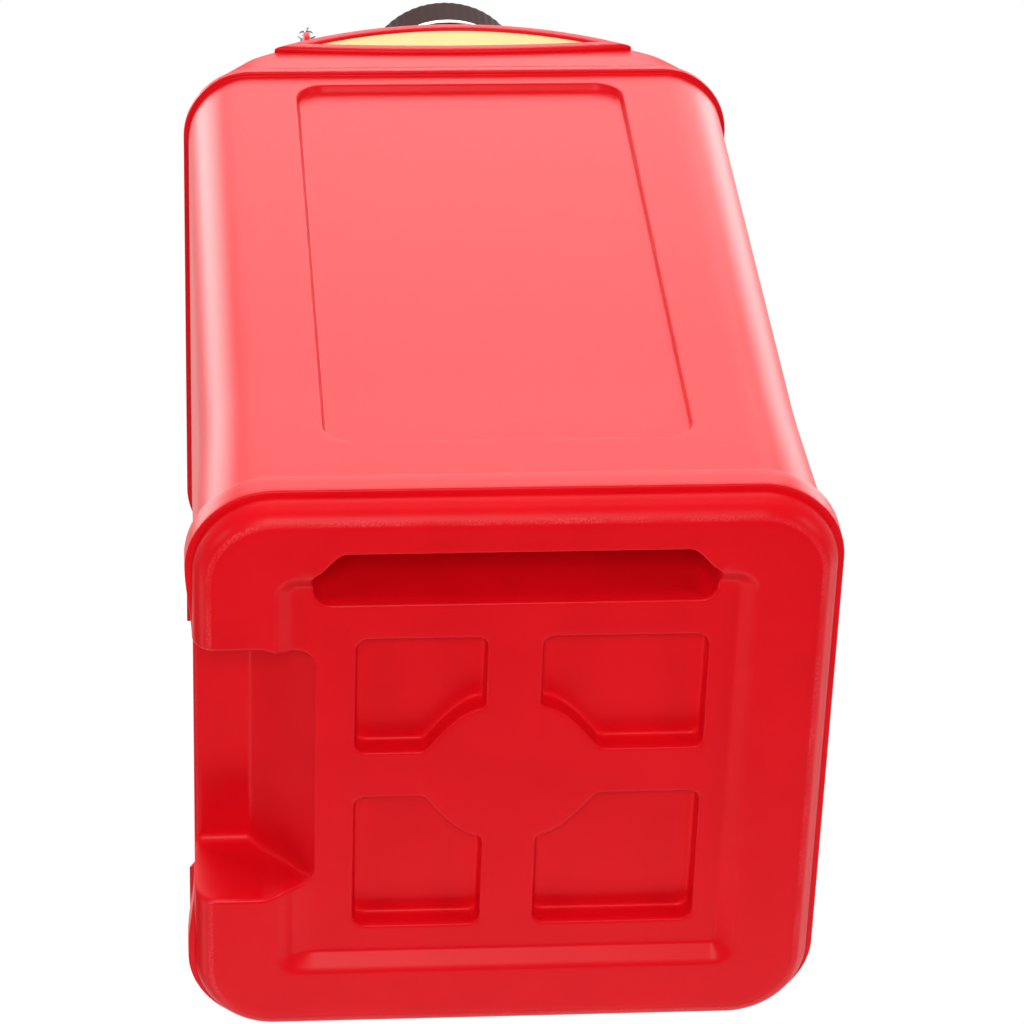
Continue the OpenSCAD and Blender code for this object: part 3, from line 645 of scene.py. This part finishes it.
# Label frame: a raised lens-shaped rim on the gable, part of the moulding, which keeps the label's edges from
# lifting. Its upper edge runs on from the vault, and its lower edge is a shallow arc.
FRAME_HALF = 75
FRAME_SAG = 4
FRAME_RIM = 5
FRAME_FRONT = -116.6
FRAME_BACK = -111
LOWER_R = (FRAME_HALF ** 2 + FRAME_SAG ** 2) / (2 * FRAME_SAG)
LOWER_Z = roof_at(FRAME_HALF) - FRAME_SAG + LOWER_R


def lens(inset, steps=60):
    """Outline between two arcs, the vault's above and a flatter one below, both drawn in by one inset."""
    upper_r, lower_r = VAULT_R - inset, LOWER_R - inset
    gap = LOWER_Z - VAULT_Z
    tip_z = VAULT_Z + (upper_r ** 2 - lower_r ** 2 + gap ** 2) / (2 * gap)
    tip_x = np.sqrt(upper_r ** 2 - (tip_z - VAULT_Z) ** 2)
    across = tip_x * np.sin(np.linspace(-np.pi / 2, np.pi / 2, steps))
    above = np.stack([across, VAULT_Z + np.sqrt(upper_r ** 2 - across ** 2)], -1)
    below = np.stack([across, LOWER_Z - np.sqrt(lower_r ** 2 - across ** 2)], -1)
    return np.concatenate([above, below[-2::-1]])


# The rim's section, as insets from the lens and places along Y: rounder at the outer edge than at the inner.
rim_section = [
    (0.6, FRAME_BACK), (0, -112.5),
    (0, FRAME_FRONT + 1.4), (0.15, FRAME_FRONT + 0.8), (0.5, FRAME_FRONT + 0.35), (1.1, FRAME_FRONT + 0.08),
    (1.8, FRAME_FRONT), (FRAME_RIM - 1.2, FRAME_FRONT),
    (FRAME_RIM - 0.5, FRAME_FRONT + 0.15), (FRAME_RIM - 0.15, FRAME_FRONT + 0.5),
    (FRAME_RIM, FRAME_FRONT + 1), (FRAME_RIM, -114.5), (FRAME_RIM, FRAME_BACK), (0.6, FRAME_BACK),
]
rim_rings = []
for inset, y in rim_section:
    outline = lens(inset)
    rim_rings.append(np.stack([outline[:, 0], np.full(len(outline), y), outline[:, 1]], -1))
label_frame = surface("label_frame", [np.array(rim_rings)])
dress(label_frame, red_polyethylene, "red_polyethylene", "can", "can_body")

# Vent neck and tether lug: a short spout behind the handle for the vent, and a small ear at the front left
# that holds the tether's ring. Both are part of the moulding.
VENT_Y = 99
VENT_TOP = 390.5
CROWN = SHOULDER_TOP + VAULT_RISE
LUG_X = -61
LUG_Y = -112.5
LUG_HOLE = roof_at(LUG_X) + 8.5
LUG_R = 2.6
LUG_BORE = 1.5
LUG_T = 3
vent_profile = np.concatenate([
    [[8.6, CROWN - 1]],
    arc((8.5, CROWN + 1.5), 1.5, 270, 180),
    arc((6.3, VENT_TOP - 0.7), 0.7, 0, 90),
    arc((5.2, VENT_TOP - 0.7), 0.7, 90, 180),
    [[4.5, CROWN - 8]],
])
vent_neck = surface("vent_neck", [revolve(vent_profile, (0, VENT_Y), 64)])
dress(vent_neck, red_polyethylene, "red_polyethylene", "can", "can_body")
round_turn = np.radians(np.linspace(-90, 270, 49))
ear = np.stack([LUG_R * np.cos(round_turn), LUG_HOLE + LUG_R * np.sin(round_turn)], -1)
ear[:, 1] = np.where((round_turn < 0) | (round_turn > np.pi), roof_at(LUG_X) - 2, ear[:, 1])
hole = np.stack([LUG_BORE * np.cos(round_turn), LUG_HOLE + LUG_BORE * np.sin(round_turn)], -1)
hole_at = np.array([0, LUG_HOLE])

# Rings from the bore over the ear's outside and back, each drawn in by an inset at a share of its depth.
lug_rings = []
for outline, inset, depth in ((hole, 0, 0.5), (ear, -0.5, 0.5), (ear, 0, 0.1), (ear, 0, -0.1),
                              (ear, -0.5, -0.5), (hole, 0, -0.5), (hole, 0, 0.5)):
    drawn = hole_at + (outline - hole_at) * (1 + inset / LUG_R)
    x = np.full(len(drawn), LUG_X + depth * LUG_T)
    lug_rings.append(np.stack([x, LUG_Y + drawn[:, 0], drawn[:, 1]], -1))
lug = surface("lug", [np.array(lug_rings)])
dress(lug, red_polyethylene, "red_polyethylene", "can", "can_body")

# Label: a plain sheet of yellow film glued to the gable inside the frame. The film is satin, and its yellow
# is a little uneven.
FADE_MM = 18


def mottled(name, grain, dark, light, detail, bump=0.0, **inputs):
    """Material whose colour wanders between two tones with a grain of some millimetres. With a bump, the
    grain also stands out a little."""
    material, tree, shader = new_material(name, **inputs)
    place = node(tree, "TexCoord", {}).outputs["Object"]
    grains = noise(tree, place, grain, Detail=detail)
    tree.links.new(two_tones(tree, grains, dark, light), shader.inputs["Base Color"])
    if bump:
        raised = node(tree, "Bump", {"Height": grains, "Strength": bump, "Distance": BUMP_MM * MM})
        tree.links.new(raised.outputs["Normal"], shader.inputs["Normal"])
    return material


def paint(name, material):
    """Gives a solid of the frame its material."""
    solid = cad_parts[name]
    solid.data.materials.clear()
    solid.data.materials.append(material)


label_film = mottled("label_film", FADE_MM, "#d0c47c", "#d7cb88", 2.0, Roughness=0.35, IOR=1.12)
paint("front_label", label_film)

# Screw cap: moulded in black polypropylene, with grip flutes, a smooth waist for the swivel ring, a bead at
# the lower edge and a thread inside. The plastic is a dull black with a fine spark-eroded grain; the brownish
# tint in its colour is painted reflection of red light from the can.
SPARK_MM = 0.5
CAP_IN = 31.2
CAP_WAIST = 32.9
CAP_R = 34
CAP_BOTTOM = 387.8
CAP_CEILING = 413.1
CAP_HIGH = 418.1
BEAD_TOP = 389.8
WAIST_TOP = 398.75
FLUTES = 60
FLUTE_DEPTH = 0.2
cap_inside = np.concatenate([
    [[0, CAP_CEILING], [28, CAP_CEILING]],
    arc((CAP_IN - 1, CAP_CEILING - 1), 1, 90, 0),
    np.stack([np.full(60, CAP_IN), np.linspace(CAP_CEILING - 1.5, CAP_BOTTOM + 1, 60)], -1),
    arc((CAP_IN + 0.6, CAP_BOTTOM + 0.6), 0.6, 180, 270),
])
cap_outside = np.concatenate([
    arc((CAP_R - 0.8, CAP_BOTTOM + 0.8), 0.8, 270, 360),
    arc((CAP_R - 0.6, BEAD_TOP - 0.6), 0.6, 0, 90),
    arc((CAP_WAIST + 0.4, BEAD_TOP + 0.4), 0.4, 270, 180),
    arc((CAP_WAIST + 0.4, WAIST_TOP - 0.4), 0.4, 180, 90),
    arc((CAP_R - 0.5, WAIST_TOP + 0.5), 0.5, -90, 0),
    np.stack([np.full(24, CAP_R), np.linspace(WAIST_TOP + 0.8, CAP_HIGH - 2.2, 24)], -1),
    arc((CAP_R - 2, CAP_HIGH - 2), 2, 0, 90, 9),
    [[30.5, CAP_HIGH], [30, CAP_HIGH - 0.4], [29, CAP_HIGH - 0.6], [12, CAP_HIGH - 0.6], [0, CAP_HIGH - 0.6]],
])
cap_profile = np.concatenate([cap_inside, cap_outside])
columns = FLUTES * 6
round_cap = np.linspace(0, 2 * np.pi, columns + 1)
cap_r = np.repeat(cap_profile[:, :1], columns + 1, 1)
cap_z = cap_profile[:, 1:]
threaded = (np.arange(len(cap_profile)) < len(cap_inside))[:, None] & (cap_r == CAP_IN)
cap_ridge = THREAD_H * thread(cap_z, round_cap + np.pi, *THREAD_Z, PITCH)
cap_r = np.where(threaded, cap_r - cap_ridge, cap_r)
grip = smooth((cap_z - WAIST_TOP - 1) / 1.5) * (cap_r > 31.5)
flute = smooth(2.2 * np.abs(np.mod(round_cap * FLUTES / (2 * np.pi), 1) - 0.5))
cap_r = cap_r - FLUTE_DEPTH * grip * (1 - flute)
screw_cap = surface("cap_moulding", [np.stack([cap_r * np.cos(round_cap), NECK_Y + cap_r * np.sin(round_cap),
                                               cap_z + 0 * round_cap], -1)])
# Black plastic whose brownish tones are painted reflection of red light from the can; the arrester and vent
# share it.
black_polypropylene = mottled("black_polypropylene", SPARK_MM, "#2e1b1a", "#3a2322", 3.0, bump=0.25,
                              Roughness=0.5, IOR=1.08)
dress(screw_cap, black_polypropylene, "black_polypropylene", "cap", "screw_cap")

# Gasket: a ring of nitrile rubber under the cap's top, which seals on the neck's mouth. The rubber is a dull,
# finely grained black.
GRAIN_MM = 0.4
nitrile_rubber = mottled("nitrile_rubber", GRAIN_MM, "#202020", "#303030", 2.0, Roughness=0.7)
paint("cap_gasket", nitrile_rubber)

# Flame arrester: a basket of black polypropylene that hangs by its flange in the neck's mouth, with a cup of
# woven steel gauze inside it. The gauze is banded: bright wires, with painted shade in the gaps between them.
WEAVE_MM = 2.5
paint("arrester_cage", black_polypropylene)
steel_gauze, tree, shader = new_material("steel_gauze", Metallic=1.0, Roughness=0.4)
place = node(tree, "TexCoord", {}).outputs["Object"]
# Dark bands of the weave are painted shade in the gaps between the wires.
weave = node(tree, "TexWave", {"Vector": place, "Scale": 1 / (WEAVE_MM * MM)}, bands_direction="Z")
wires_and_gap_shade = two_tones(tree, weave.outputs["Fac"], "#55575a", "#c2c4c6")
tree.links.new(wires_and_gap_shade, shader.inputs["Base Color"])
paint("arrester_mesh", steel_gauze)

# Tether: zinc-plated steel wire bent into a ring in the lug, a chain of fifteen links, a split ring and a
# swivel ring with an eye, which sits loose in the cap's waist. The zinc is bright with a faint grey bloom.
BLOOM_MM = 2
zinc_plated_steel = mottled("zinc_plated_steel", BLOOM_MM, "#a9adb3", "#d3d6d9", 3.0,
                            Metallic=1.0, Roughness=0.3)
SWIVEL_Z = 397.55
SWIVEL_R = 34.1
SWIVEL_WIRE = 0.9
EYE_R = 2.6
EYE_TURN = np.radians(142)
RING_R = 3.6
SPLIT_R = 5
WIRE = 0.7
LINK_WIRE = 0.6
LINK_W = 3.2
LINK_PLAY = 0.5
LINK_ROLL = 110
LINKS = 15
UP = np.array([0, 0, 1.0])
radial = np.array([np.cos(EYE_TURN), np.sin(EYE_TURN), 0])
tangent = np.array([-np.sin(EYE_TURN), np.cos(EYE_TURN), 0])
eye_at = np.array([0, NECK_Y, SWIVEL_Z]) + (SWIVEL_R + SWIVEL_WIRE + EYE_R) * radial
split_at = eye_at - SPLIT_R * UP
ring_at = np.array([LUG_X, LUG_Y, LUG_HOLE + RING_R])


def wire_ring(centre, radius, wire, across, up, columns=48, sides=12):
    """Ring of round wire in the plane of two directions."""
    turn = np.linspace(0, 2 * np.pi, columns + 1)[:, None, None]
    round_ = np.linspace(0, 2 * np.pi, sides + 1)[None, :, None]
    out = np.cos(turn) * across + np.sin(turn) * up
    return centre + out * (radius + wire * np.cos(round_)) + np.cross(across, up) * wire * np.sin(round_)


X_AXIS, Y_AXIS = np.eye(3)[:2]
tether_ring = surface("lug_ring", [wire_ring(ring_at, RING_R, WIRE, X_AXIS, UP)])
dress(tether_ring, zinc_plated_steel, "zinc_plated_steel", "can", "tether_ring")
swivel = surface("cap_swivel", [
    wire_ring(np.array([0, NECK_Y, SWIVEL_Z]), SWIVEL_R, SWIVEL_WIRE, X_AXIS, Y_AXIS, 144),
    wire_ring(eye_at, EYE_R, SWIVEL_WIRE, radial, UP),
])
dress(swivel, zinc_plated_steel, "zinc_plated_steel", "tether_swivel", "swivel_ring")
split = surface("split_coil", [wire_ring(split_at, SPLIT_R, WIRE, tangent, UP)])
dress(split, zinc_plated_steel, "zinc_plated_steel", "tether_swivel", "split_ring")

# The chain's links stand at equal steps along one curve, each a quarter turn from the one before.
leave_ring = np.array([1, 30, 24.0])
reach_split = np.array([22, -20, 12.0])
route_start = ring_at + RING_R * UP
route_stop = split_at - SPLIT_R * UP
slack = WIRE + 0.3 - LINK_PLAY / 2
route_ends = np.array([
    route_start - slack * leave_ring / np.linalg.norm(leave_ring), route_start + leave_ring,
    route_stop - reach_split, route_stop + slack * reach_split / np.linalg.norm(reach_split)])
t = np.linspace(0, 1, 401)[:, None]
route = np.hstack([(1 - t) ** 3, 3 * t * (1 - t) ** 2, 3 * t ** 2 * (1 - t), t ** 3]) @ route_ends
run = np.append(0, np.linalg.norm(np.diff(route, axis=0), axis=1).cumsum())
pitch = run[-1] / LINKS
joints = np.stack([np.interp(np.arange(LINKS + 1) * pitch, run, route[:, k]) for k in range(3)], -1)
link_half = LINK_W / 2 + LINK_WIRE
link_reach = (pitch + LINK_PLAY - LINK_W) / 2
end_bend = np.radians(np.linspace(-90, 90, 13))
out = np.stack([np.cos(end_bend), np.sin(end_bend), 0 * end_bend], -1)
end = np.array([link_reach, 0, 0]) + link_half * out
path = np.concatenate([end, end * [-1, -1, 1], end[:1]])[:, None]
out = np.concatenate([out, out * [-1, -1, 1], out[:1]])[:, None]
round_ = np.linspace(0, 2 * np.pi, 11)[None, :, None]
link = path + LINK_WIRE * (np.cos(round_) * out + np.sin(round_) * UP)
links = []
for i in range(LINKS):
    ahead = joints[i + 1] - joints[i]
    ahead = ahead / np.linalg.norm(ahead)
    level = np.cross(UP, ahead)
    level = level / np.linalg.norm(level)
    roll = np.radians(LINK_ROLL + 90 * (i % 2))
    upward = np.cross(ahead, level)
    side = np.cos(roll) * level + np.sin(roll) * upward
    face = np.cross(ahead, side)
    links.append((joints[i] + joints[i + 1]) / 2 + link @ np.array([ahead, side, face]))
chain = surface("chain_links", links, 0.0005)
chain.data.materials.append(zinc_plated_steel)
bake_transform(chain)
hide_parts("tether_chain")

# Vent: a collar round the vent neck with a small cap on it, both of the screw cap's black polypropylene, and
# the steel pin that the small cap flips on.
paint("vent_collar", black_polypropylene)
paint("vent_cap", black_polypropylene)
paint("vent_pin", zinc_plated_steel)

# Floor and light: a pale floor under the can, seen only from above, and soft lamps round it. The camera looks
# at the base from below and in front, with the can tipped onto its back in the picture.
FLOOR_HALF = 3
floor_corners = [(x * FLOOR_HALF, y * FLOOR_HALF, 0) for x, y in ((-1, -1), (1, -1), (1, 1), (-1, 1))]
floor_mesh = bpy.data.meshes.new("floor")
floor_mesh.from_pydata(floor_corners, [], [(0, 1, 2, 3)])
floor = bpy.data.objects.new("floor", floor_mesh)
bpy.context.scene.collection.objects.link(floor)
pale_paper, tree, shader = new_material("pale_paper", Base_Color=linear("#f2f2f0"), Roughness=0.9)
facing = node(tree, "NewGeometry", {})
see_through = node(tree, "BsdfTransparent", {})
mixed = node(tree, "MixShader", {"Fac": facing.outputs["Backfacing"]})
tree.links.new(shader.outputs["BSDF"], mixed.inputs[1])
tree.links.new(see_through.outputs["BSDF"], mixed.inputs[2])
tree.links.new(mixed.outputs["Shader"], tree.nodes["Material Output"].inputs["Surface"])
floor_mesh.materials.append(pale_paper)
floor.visible_shadow = False
floor.visible_diffuse = False
floor.visible_glossy = False


def lamp(name, place, target, size, watts):
    """Soft rectangular lamp at a place, turned to a target, both in metres."""
    light = bpy.data.lights.new(name, "AREA")
    light.shape = "RECTANGLE"
    light.size, light.size_y = size
    light.energy = watts
    piece = bpy.data.objects.new(name, light)
    turned = (Vector(target) - Vector(place)).to_track_quat("-Z", "Y").to_matrix().to_4x4()
    piece.matrix_world = Matrix.Translation(place) @ turned
    bpy.context.scene.collection.objects.link(piece)
    return piece


lamp("front_softbox", (0.05, -1.4, 0.9), (0, -0.1, 0.2), (1.4, 0.8), 8)
lamp("left_high_softbox", (-1.15, -0.1, 1.65), (0, -0.05, 0.2), (0.8, 1.1), 22)
lamp("right_high_softbox", (1.15, -0.1, 1.65), (0, -0.05, 0.2), (0.8, 1.1), 16)
lamp("left_softbox", (-1.3, -0.55, -0.6), (0, 0, 0.05), (0.3, 0.3), 3.5)
lamp("right_softbox", (1.3, -0.55, -0.6), (0, 0, 0.05), (0.3, 0.3), 4.5)
lamp("left_rim_lamp", (-1.2, 0.8, -0.2), (0, 0, 0), (0.8, 0.3), 2.5)
lamp("right_rim_lamp", (1.2, 0.8, 0.1), (0, 0, 0), (0.8, 0.5), 4)
lamp("grazing_lamp", (0.1, -1.5, -0.05), (0, 0, 0), (1.2, 0.1), 3)
lamp("camera_lamp", (-0.13, -0.95, -1.3), (0, 0, 0.1), (0.6, 0.6), 19)
lamp("bounce_lamp", (0, 0.5, -0.35), (0, 0.05, 0), (0.8, 0.25), 1.5)

# A pale card above the front shows only as a sheen on it, and a black one at the left, which only reflections
# see, keeps the grip notch dark.
lamp("card_above", (0.05, -0.95, 1.6), (0, -0.1, 0.2), (1.6, 1.2), 36).visible_diffuse = False
card_mesh = bpy.data.meshes.new("card_left")
card_corners = [(-0.65, 0.11, 0.0), (-0.4, 0.48, 0.0), (-0.33, 0.43, 0.35), (-0.58, 0.06, 0.35)]
card_mesh.from_pydata(card_corners, [], [(0, 1, 2, 3)])
card = bpy.data.objects.new("card_left", card_mesh)
bpy.context.scene.collection.objects.link(card)
black_card, _, _ = new_material("black_card", Base_Color=linear("#050505"), Roughness=1.0, IOR=1.0)
card_mesh.materials.append(black_card)
card.visible_camera = False
card.visible_diffuse = False
card.visible_shadow = False
card.visible_transmission = False

# The room is brighter above than below, and white where the camera looks past the can.
ROOM_LOW = 0.15
ROOM_HIGH = 0.9
world = bpy.data.worlds.new("studio")
bpy.context.scene.world = world
world.use_nodes = True
tree = world.node_tree
direction = node(tree, "TexCoord", {}).outputs["Generated"]
height = node(tree, "SeparateXYZ", {"Vector": direction}).outputs["Z"]
room = mapped(tree, height, -0.4, 0.7, ROOM_LOW, ROOM_HIGH)
ray = node(tree, "LightPath", {}).outputs
seen = maths(tree, "MAXIMUM", ray["Is Camera Ray"], ray["Is Glossy Ray"])
seen = maths(tree, "MAXIMUM", seen, ray["Is Transmission Ray"])
backdrop = node(tree, "MixRGB", {"Fac": seen, "Color1": room, "Color2": (1, 1, 1, 1)})
tree.links.new(backdrop.outputs["Color"], tree.nodes["Background"].inputs["Color"])

# The camera's place and turn are fitted to the square base and the body's parallel edges in the photograph.
CAMERA_AT = Vector((-0.1294, -0.9458, -1.2909))
RIGHT = Vector((0.99652, -0.03122, -0.07728))
DOWN = Vector((-0.0155, 0.84159, -0.53989))
VIEW = Vector((0.08189, 0.53921, 0.83818))
camera_data = bpy.data.cameras.new("camera")
camera_data.sensor_width = 36
camera_data.lens = 154.4
camera = bpy.data.objects.new("camera", camera_data)
camera.matrix_world = Matrix.Translation(CAMERA_AT) @ Matrix((RIGHT, -DOWN, -VIEW)).transposed().to_4x4()
bpy.context.scene.collection.objects.link(camera)
bpy.context.scene.camera = camera
bpy.context.scene.view_settings.view_transform = "Standard"
